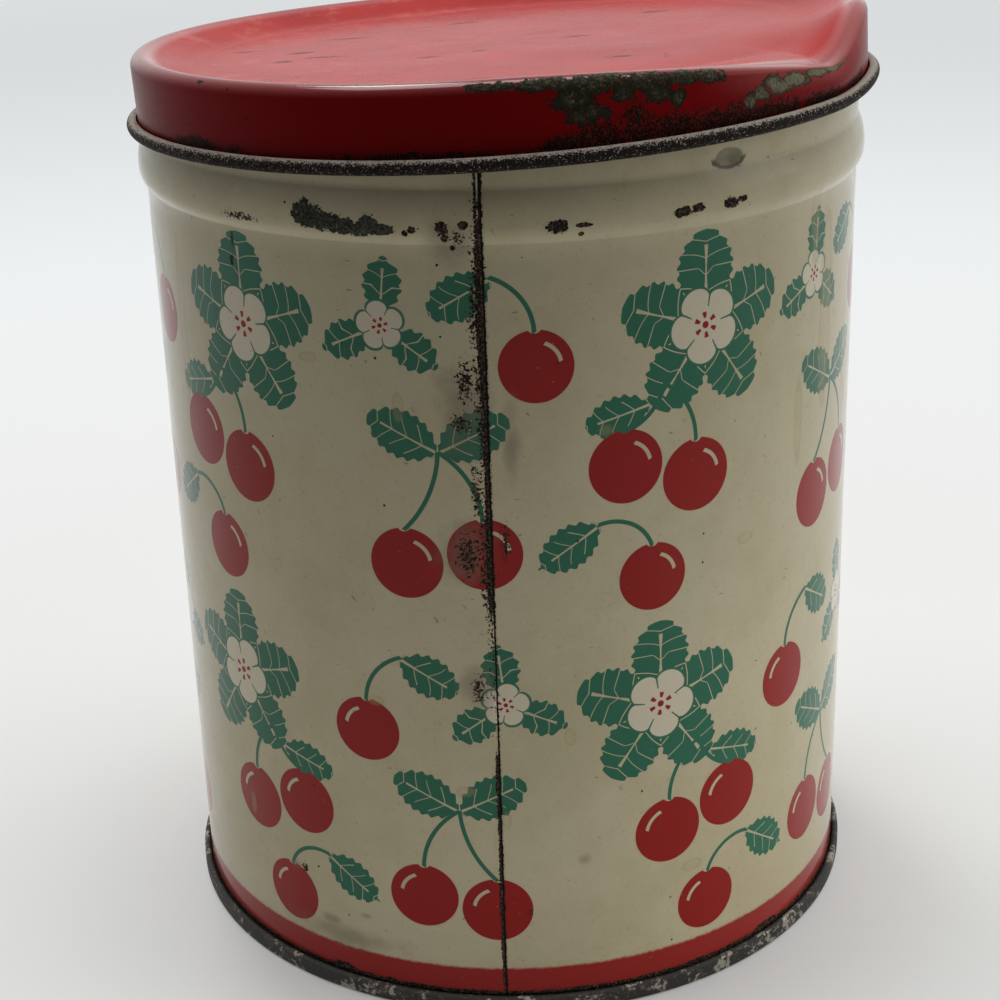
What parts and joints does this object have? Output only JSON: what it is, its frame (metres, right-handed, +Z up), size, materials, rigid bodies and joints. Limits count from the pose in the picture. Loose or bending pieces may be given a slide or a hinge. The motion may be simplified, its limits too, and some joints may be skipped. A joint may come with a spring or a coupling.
{
  "type": "tin canister",
  "caption": "Round tinplate kitchen canister with a lock side seam, a stop bead, a double seamed bottom and a loose slip lid with a dented rim.",
  "frame": {"origin": "centre of the flat ring that the canister stands on", "axes": "+Z up along the body's axis, -Y to the front, where the side seam and the picture's camera are, +X to the right as the camera sees it"},
  "size_m": [0.133, 0.133, 0.1666],
  "materials": {
    "cream_print": "gloss enamel, chipped and rust specked",
    "worn_tinplate": "bare and worn, dark with rust",
    "seam_rubber": "matt",
    "red_enamel": "gloss enamel, chipped to bare metal at the rim"
  },
  "bodies": {
    "body": {"body_sheet": "cream_print", "bottom_end": "worn_tinplate", "seam_compound": "seam_rubber"},
    "lid": {"lid": "red_enamel"}
  },
  "joints": [
    {"name": "lid_lift", "type": "slide", "parent": "body", "child": "lid", "axis": [0, 0, 1], "range_m": [0, 0.09]}
  ]
}
